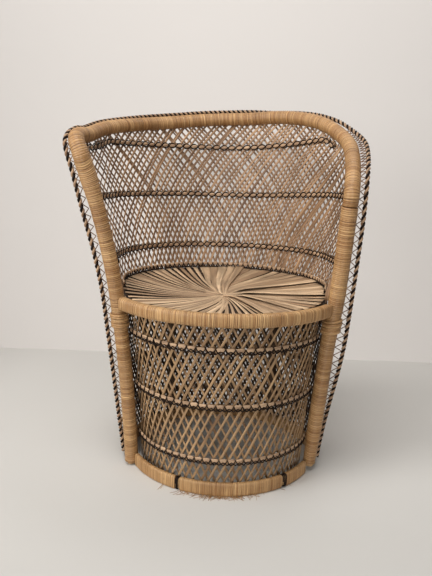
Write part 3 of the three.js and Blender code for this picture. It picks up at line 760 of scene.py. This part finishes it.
def lozenge_band(name, wall, height, low, high, pitch, offset, tall, thick, replaced, crossed=True):
    """Flat natural stitches side by side, crossed and edged with black cane."""
    natural, dark = Bundle(), Bundle()
    cells, pitch, places = stitches_between(low, high, pitch)
    side = 1 if offset > 0 else -1
    share = np.linspace(-0.46, 0.46, 9)
    for k in range(cells):
        a = low + (k + 0.5 + share) * pitch
        fat = np.sqrt(np.clip(1 - (share / 0.49) ** 4, 0.03, 1)) * (1 + rng.normal(0, 0.06))
        z = height + 0.28 * tall + rng.normal(0, 0.3) + share * 1.4
        natural.sweep(wall.at(a, z, offset + side * 0.9 * fat), wall.out(a) * side,
                      oval(tall, thick, 10, 0.8)[None] * fat[:, None, None], shade(0.8, 0.17))
    a = low + places * pitch
    wave = np.abs((places % 1) - 0.5) * 2
    # The black canes: foot and rise as shares of the band's height, sharpness of the wave, and push outward
    canes = ((-0.74, 1.25, 2.0, 1.6), (0.0, -0.74, 1.0, 2.0))
    for foot, rise, power, push in canes if crossed else canes[:1]:
        z = height + tall * (foot + rise * wave ** power)
        dark.sweep(wall.at(a, z, offset + side * (push + 0.5 * wave)), wall.out(a) * side, oval(2.6, 2.2, 7),
                   0.4 + 0.3 * np.sin(places * 2.2))
    if not crossed:
        dark.sweep(wall.at(a, height - 0.7 * tall, offset + side), wall.out(a) * side, oval(3.0, 2.6, 8),
                   0.4 + 0.3 * np.sin(places * 6.28))
    natural.piece(f"{name}_stitches", twine, "lattice_cane")
    dark.piece(f"{name}_black_cords", dyed, "dyed_cane", replaced)


def twined_band(name, wall, heights, low, high, pitch, offset):
    """Natural stitches between two black canes that cross at each strand, on both faces of the wall."""
    natural, dark = Bundle(), Bundle()
    cells, pitch, places = stitches_between(low, high, pitch)
    a = low + places * pitch
    for face in (offset, -offset):
        side = 1 if face > 0 else -1
        for lay in (1, -1):
            z = heights(a) + lay * 6.2 * np.sin(np.pi * places)
            push = face + side * 0.9 * lay * np.cos(np.pi * places)
            dark.sweep(wall.at(a, z, push), wall.out(a) * side, oval(2.9, 2.3, 7),
                       0.4 + 0.3 * np.sin(places * 2.2))
        for k in range(cells):
            share = np.linspace(-0.4, 0.4, 7)
            fat = np.sqrt(np.clip(1 - (share / 0.43) ** 2, 0.05, 1))
            b = low + (k + 0.5 + share) * pitch
            natural.sweep(wall.at(b, heights(b) + share * 2.4, face), wall.out(b) * side,
                          oval(9.0, 2.6, 8)[None] * fat[:, None, None], shade(0.5, 0.2))
    natural.piece(f"{name}_natural_stitches", twine, "lattice_cane")
    dark.piece(f"{name}_black_canes", dyed, "dyed_cane", name)


for k, z in enumerate((78.0, 204.0, 330.0), 1):
    for wall_name, wall, end, pitch in (("apron", apron, float(apron_arc(z)[2]) + 3.5, 5.0),
                                        ("drum", drum, float(border_edge(z)) - 1, 4.6)):
        band = f"{wall_name}_band_{k}"
        lozenge_band(band, wall, z, -end, end, pitch, BAND_OFFSET, BAND_TALL, BAND_THICK, band)

# The back's bands rise to the right. Under the rim they are pressed down, and they end where that is too much
UNDER_RIM, MOST_PRESSED, BACK_BAND_END = 26, 24, 110.4
for k, (foot, rise) in enumerate(((488.0, 7), (621.0, 20), (745.0, 34)), 1):
    def free_height(a):
        return foot + rise * step(a, 0, 90)

    def pressed_height(a):
        return np.minimum(free_height(a), rim_top(a) - UNDER_RIM)

    pressed = free_height(angle_steps) - rim_top(angle_steps) + UNDER_RIM
    ends = angle_steps[(pressed < MOST_PRESSED) & (np.abs(angle_steps) < BACK_BAND_END)]
    twined_band(f"back_band_{k}", back, pressed_height, ends[0], ends[-1], 4.1, -5.2)

lozenge_band("seat_edge", back, TRIM_HEIGHT + 1, -108, 108, 3.4, -BAND_OFFSET, 8.8, 4.4, "seat_edge_trim",
             crossed=False)


# Border rope: a black and a natural cane twisted together, with thin links to the posts

ROPE_STEP, ROPE_CANE_RADIUS = 1.8, 2.7
ROPE_FOOT = 12
ROPE_PAST_EDGE = 0.4
ROPE_FROM_RIM = 21.9
LEFT_CORNER = (-350, -126, 736)
ROPE_AXIS_DEPTH = -19


def rope_line():
    """The rope goes up the left edge of the border, along the rim and down the right edge."""
    left_z, right_z = np.linspace(ROPE_FOOT, 670, 9), np.linspace(600, ROPE_FOOT, 9)
    left = border.at(-(border_edge(left_z) + ROPE_PAST_EDGE), left_z)
    right = border.at(border_edge(right_z) + ROPE_PAST_EDGE, right_z)
    share = np.linspace(0.1, 0.95, 18)
    at = share * rim_run[-1]
    point = along(rim_line, at)
    tangent = unit(along(rim_line, at, unit(np.gradient(rim_line, axis=0))))
    radial = unit(np.stack([*from_border_middle(point), 0 * share], -1))
    out = unit(radial - tangent * np.sum(radial * tangent, -1, keepdims=True))
    over = np.cross(tangent, out)
    # It lies on top of the rim, and drops behind it at its start, right of the middle and where it leaves
    start = 1 - step(share, 0.16, 0.42)
    behind = step(share, 0.54, 0.6) * (1 - step(share, 0.68, 0.74))
    leaving = 1 - step(1 - share, 0.13, 0.32)
    aside = 8 + 23 * leaving + 8 * behind + 10 * start
    above = 19.8 - 4.8 * leaving - 5.5 * behind - 7.5 * start
    crown = point + out * aside[:, None] + over * above[:, None]
    line = smooth_line(np.vstack([left, [LEFT_CORNER], crown, right]))
    near = rim_line[np.argmin(np.linalg.norm(line[:, None] - rim_line[None], axis=2), axis=1)]
    away = np.linalg.norm(line - near, axis=1, keepdims=True)
    return near + (line - near) / away * np.maximum(away, ROPE_FROM_RIM)


rope_path = rope_line()
rope_run = runs_of(rope_path)
rope_mid = along(rope_path, np.arange(0, rope_run[-1], ROPE_STEP))
rope_angle = np.degrees(np.arctan2(rope_mid[:, 0] - lean(rope_mid[:, 2]), rope_mid[:, 1] - ROPE_AXIS_DEPTH))

# The lay is shorter on the rim than beside the posts
on_rim = 1 - step(np.abs(rope_angle), 45, 85)
on_post = 16.5 + 5 * step(rope_mid[:, 2], 250, 620)
lay = on_post + (12.5 - on_post) * on_rim
rope_turn = np.cumsum(ROPE_STEP / lay) * 2 * np.pi
rope_out = carried(rope_mid, (0, -1, 0))
rope_up = np.cross(unit(np.gradient(rope_mid, axis=0)), rope_out)
for colour_name, phase, tone, material, slot, nodes in (
        ("black", 0.0, 0.4, dyed, "dyed_cane", ("border_rope",)),
        ("natural", np.pi, 0.5, twine, "lattice_cane", ())):
    cane = Bundle()
    c, s = np.cos(rope_turn + phase)[:, None], np.sin(rope_turn + phase)[:, None]
    line = rope_mid + rope_out * c * ROPE_CANE_RADIUS * 0.9 + rope_up * s * ROPE_CANE_RADIUS * 0.9
    cane.sweep(line, rope_out, oval(2 * ROPE_CANE_RADIUS, 2 * ROPE_CANE_RADIUS, 7),
               tone + 0.15 * np.sin(rope_turn * 0.31 + phase))
    cane.piece(f"border_rope_{colour_name}_strand", material, slot, *nodes)

# Each link zigzags between the rope and the nearest pole, where there is a gap between them
LINK_START_ANGLE, LEAST_GAP = 72, 7
LINK_STEP, CORNER_LINK_STEP, CORNER_HEIGHT = 9.5, 6.0, 640
pole_line = np.vstack([post_at(-1, np.linspace(20, 680, 90)), rim_line, post_at(1, np.linspace(624, 20, 90))])
pole_size = np.concatenate([np.linspace(15.8, 18.2, 90), np.full(len(rim_line), 17.0), np.full(90, 17.2)])
for name, side in (("left", -1), ("right", 1)):
    lacing = Bundle()
    corners, reached = [], 0.0
    for at in np.arange(8, rope_run[-1], 1.0):
        k = min(int(at / ROPE_STEP), len(rope_mid) - 1)
        if side * rope_angle[k] < LINK_START_ANGLE or at < reached:
            continue
        far = rope_mid[k]
        j = int(np.argmin(np.linalg.norm(pole_line - far, axis=1)))
        gap = np.linalg.norm(far - pole_line[j])
        if gap > pole_size[j] + LEAST_GAP:
            inward = (far - pole_line[j]) / gap
            corners.append(pole_line[j] + inward * ((pole_size[j] + 0.4) if len(corners) % 2 else gap - 3.4))
            reached = at + (LINK_STEP if far[2] < CORNER_HEIGHT else CORNER_LINK_STEP) + rng.normal(0, 0.7)
    corners = np.array(corners)
    line = along(corners, np.linspace(0, runs_of(corners)[-1], 10 * len(corners)))
    lacing.sweep(line, (0, 1, 0), oval(2.1, 1.5, 6), 0.45 + 0.3 * np.sin(np.arange(len(line)) * 0.11))
    lacing.piece(f"{name}_rope_links", link_cane, "lattice_cane", f"{name}_rope_lacing")


# Seat: fans of flat palm strips that swirl out from a bunched middle, the wide ones lapping each other

SEAT_HUB = np.array([-13.0, -46.0])
HUB_RADIUS, BUNCH_WIDTH = 4, 15
LAP_HEIGHT, LAPPED_COVER = 8, 0.8


def seat_rim(angle):
    """Reach of the seat from its hub, in a direction in degrees from the back."""
    a = math.radians(angle)
    way = np.array([math.sin(a), math.cos(a)])
    reaches = []
    for middle, radius in ((BACK_MIDDLE, 236.5), (seat_middle, seat_radius - 9.5)):
        hub = SEAT_HUB - np.array([float(lean(411)), middle])
        b = hub.dot(way)
        reaches.append(-b + math.sqrt(max(0, b * b - hub.dot(hub) + radius ** 2)))
    return min(reaches)


def seat_height(angle, t):
    """Height of the seat at a share of its reach: low inside the front rail, and up to the trim behind."""
    y = SEAT_HUB[1] + seat_rim(angle) * math.cos(math.radians(angle))
    return 406 + 19.5 * float(step(y, -190, -20)) * t ** 2 + 1.5 * t


# Each fan: its first and last direction, its count of strips, their share of their spacing, and its swirl
FANS = ((8, 66, 10, 0.95, 30), (63, 97, 7, 0.98, 24), (94, 130, 7, 0.96, 20), (127, 152, 5, 0.96, 16),
        (150, 187, 9, 0.6, 12), (184, 241, 11, 0.8, 18), (238, 299, 11, 0.6, 14), (296, 321, 6, 0.56, 12),
        (318, 353, 9, 0.6, 8), (351, 371, 5, 0.95, 8))
seat = Bundle()
for first, last, strips, cover, swirl in FANS:
    bunch = math.radians((first + last) / 2 - swirl)
    inner = 3.6 if cover > 0.9 else 2.4
    for share in np.linspace(0, 1, strips):
        angle = first + (last - first) * share
        reach = seat_rim(angle)
        t = np.linspace(0, 1, 18)
        way = np.radians(angle - (swirl + rng.normal(0, 0.8)) * (1 - t) ** 1.5)
        side = (share - 0.5) * BUNCH_WIDTH * (1 - t)
        r = HUB_RADIUS + (reach - HUB_RADIUS) * t
        x = SEAT_HUB[0] + r * np.sin(way) + side * math.cos(bunch)
        y = SEAT_HUB[1] + r * np.cos(way) - side * math.sin(bunch)
        lap = LAP_HEIGHT * share ** 1.4 * (1 - 0.4 * t) * step(t, 0, 0.25) * (cover > LAPPED_COVER)
        z = seat_height(angle, t) + lap + 3 * (1 - t) ** 3 + 0.3 * rng.normal()
        outer = reach * math.radians((last - first) / (strips - 1)) * cover
        width = (inner + (outer - inner) * t) * (1 + rng.normal(0, 0.1))
        sections = oval(1, 1, 8, 0.7) * np.stack([width, 0 * t + 1.2], -1)[:, None]
        seat.sweep(np.stack([x, y, z], -1), (0, 0, 1), sections, shade(0.55, 0.36))
seat.piece("seat_palm_fans", palm, "palm_strip", "seat_swirl")

# Dark rings of under weave close the gaps between the strips; their dark colour is painted shade under the
# strips
UNDER_DROP, UNDER_INSET = 5.5, 1.5
under = Bundle()
a = np.linspace(0, 360, 121)
reach = np.array([seat_rim(x) for x in a])
ways = np.stack([np.sin(np.radians(a)), np.cos(np.radians(a))], -1)
for share in np.append(np.linspace(0.08, 0.95, 12), 1.0):
    height = np.array([seat_height(x, share) for x in a]) - UNDER_DROP
    line = np.column_stack([SEAT_HUB + ways * (share * reach - UNDER_INSET)[:, None], height])
    under.sweep(line, (0, 0, 1), oval(28, 5, 8) if share < 1 else oval(2.4, 10, 8), float(rng.random()))
under.piece("seat_under_weave", painted_shade_palm, "palm_strip")


# Frayed fibres under the front of the base
FIBRES = 120
fray = Bundle()
for _ in range(FIBRES):
    x = rng.normal(-8, 50)
    at = np.array([np.interp(x, base_line[:, 0], base_run)])
    root, facing = along(base_line, at)[0], along(base_line, at, base_out)[0]
    t = np.linspace(0, 1, 7)[:, None]
    reach = abs(rng.normal(7, 6)) + 3
    turn = np.array([rng.normal(0, 8), 0, 0])
    line = root + facing * (4 + reach * t) + turn * t ** 2
    t = t[:, 0]
    curl = 1.2 * np.sin(3 * t + rng.random() * 3) * t
    line[:, 2] = np.maximum(0.4, 2.6 * (1 - t) ** 1.5 + curl)
    fray.sweep(line, (0, 0, 1), oval(0.9, 0.6, 4), float(0.6 * rng.random()))
fray.piece("frayed_base_fibres", wrap_cane, "wrapped_cane")


# Floor, backdrop, light and camera

FLOOR_HALF, FLOOR_Z = 6, -0.0005
WALL_FOOT, WALL_TOP = -0.001, 4
WALL_BEHIND_AXIS = 755


def stage_sheet(name, corners, tint, one_sided=False):
    """A matt sheet with faint clouds; a one-sided sheet can be seen through from behind."""
    mesh = bpy.data.meshes.new(name)
    mesh.from_pydata([Vector(c) for c in corners], [], [tuple(range(len(corners)))])
    made = bpy.data.objects.new(name, mesh)
    bpy.context.scene.collection.objects.link(made)
    material = bpy.data.materials.new(name + "_paint")
    material.use_nodes = True
    tree = material.node_tree
    shader = tree.nodes["Principled BSDF"]
    cloud = node(tree, "ShaderNodeTexNoise", {"Scale": 1.3, "Detail": 2.0})
    pale = tuple(min(1.0, c * 1.03) for c in tint[:3]) + (1.0,)
    tree.links.new(blend(tree, cloud.outputs[0], tint, pale), shader.inputs["Base Color"])
    shader.inputs["Roughness"].default_value = 0.9
    shader.inputs["Specular IOR Level"].default_value = 0.1
    if one_sided:
        clear = node(tree, "ShaderNodeBsdfTransparent")
        rear = node(tree, "ShaderNodeNewGeometry").outputs["Backfacing"]
        mix = node(tree, "ShaderNodeMixShader", {0: rear, 1: shader.outputs[0], 2: clear.outputs[0]})
        tree.links.new(mix.outputs[0], tree.nodes["Material Output"].inputs["Surface"])
    mesh.materials.append(material)


wall_y = float(place([0, WALL_BEHIND_AXIS, 0])[1])
around = ((-1, -1), (1, -1), (1, 1), (-1, 1))
stage_sheet("studio_floor", [(FLOOR_HALF * x, FLOOR_HALF * y, FLOOR_Z) for x, y in around],
            colour(214, 212, 208))
stage_sheet("studio_wall", [(FLOOR_HALF * x, wall_y, WALL_FOOT if y < 0 else WALL_TOP) for x, y in around],
            colour(214, 210, 207), one_sided=True)

scene = bpy.context.scene
scene.view_settings.view_transform = "Standard"

# The air lights the chair faintly, and looks pale where it is seen or mirrored
AIR_LIGHT, AIR_SEEN = (0.05, 0.05, 0.052, 1), (0.86, 0.86, 0.87, 1)
world = bpy.data.worlds.new("studio_air")
scene.world = world
world.use_nodes = True
air = world.node_tree
background = air.nodes["Background"]
rays = node(air, "ShaderNodeLightPath")
seen = sums(air, "MAXIMUM", rays.outputs["Is Camera Ray"],
            sums(air, "MAXIMUM", rays.outputs["Is Glossy Ray"], rays.outputs["Is Transmission Ray"]))
air.links.new(blend(air, seen, AIR_LIGHT, AIR_SEEN), background.inputs["Color"])


def lamp(name, kind, at, aim, power, tint, **shape):
    light = bpy.data.lights.new(name, kind)
    light.energy = power
    light.color = tint
    for key, value in shape.items():
        setattr(light, key, value)
    made = bpy.data.objects.new(name, light)
    made.location = at
    made.rotation_euler = (Vector(aim) - Vector(at)).to_track_quat("-Z", "Y").to_euler()
    scene.collection.objects.link(made)


WARM, PALE_WARM = (1.0, 0.98, 0.95), (1.0, 0.98, 0.96)
lamp("far_front_light", "SUN", (-0.4, -4.0, 1.0), (0, 0, 0.45), 1.1, WARM, angle=math.radians(4))
lamp("left_softbox", "AREA", (-1.8, -1.0, 1.1), (0, 0, 0.45), 4, WARM, shape="RECTANGLE", size=1.0,
     size_y=1.0, spread=math.radians(60))
lamp("top_softbox", "AREA", (-0.35, -0.8, 2.4), (0, 0, 0.5), 35, WARM, shape="RECTANGLE", size=1.4,
     size_y=1.0)
lamp("rear_fill", "AREA", (0.7, 0.62, 2.3), (0, 0.1, 0.4), 9, PALE_WARM, shape="RECTANGLE", size=1.2,
     size_y=0.5)

# The camera as fitted to the photo: its place from the drum's axis, its tilt, its roll and its turn
EYE = (-27.2, -1394.0, 705.4)
PITCH, ROLL, YAW = math.radians(11.8), math.radians(2.2), math.radians(-0.61)
camera = bpy.data.objects.new("photo_camera", bpy.data.cameras.new("photo_camera"))
scene.collection.objects.link(camera)
scene.camera = camera
camera.data.lens = 37.5
camera.data.sensor_width = 36.0
camera.data.clip_start = 0.05
camera.data.clip_end = 60
forward = np.array([0, math.cos(PITCH), -math.sin(PITCH)])
top = np.array([0, math.sin(PITCH), math.cos(PITCH)])
right = np.array([1.0, 0, 0])
image_right = right * math.cos(ROLL) + top * math.sin(ROLL)
image_up = -right * math.sin(ROLL) + top * math.cos(ROLL)
turn_back = np.array([[math.cos(YAW), -math.sin(YAW), 0], [math.sin(YAW), math.cos(YAW), 0], [0, 0, 1]])
eye = place(turn_back @ np.array(EYE))
axes = [turn_back @ v for v in (image_right, image_up, -forward)]
camera.matrix_world = Matrix([[*(axes[k][i] for k in range(3)), eye[i]] for i in range(3)] + [[0, 0, 0, 1]])
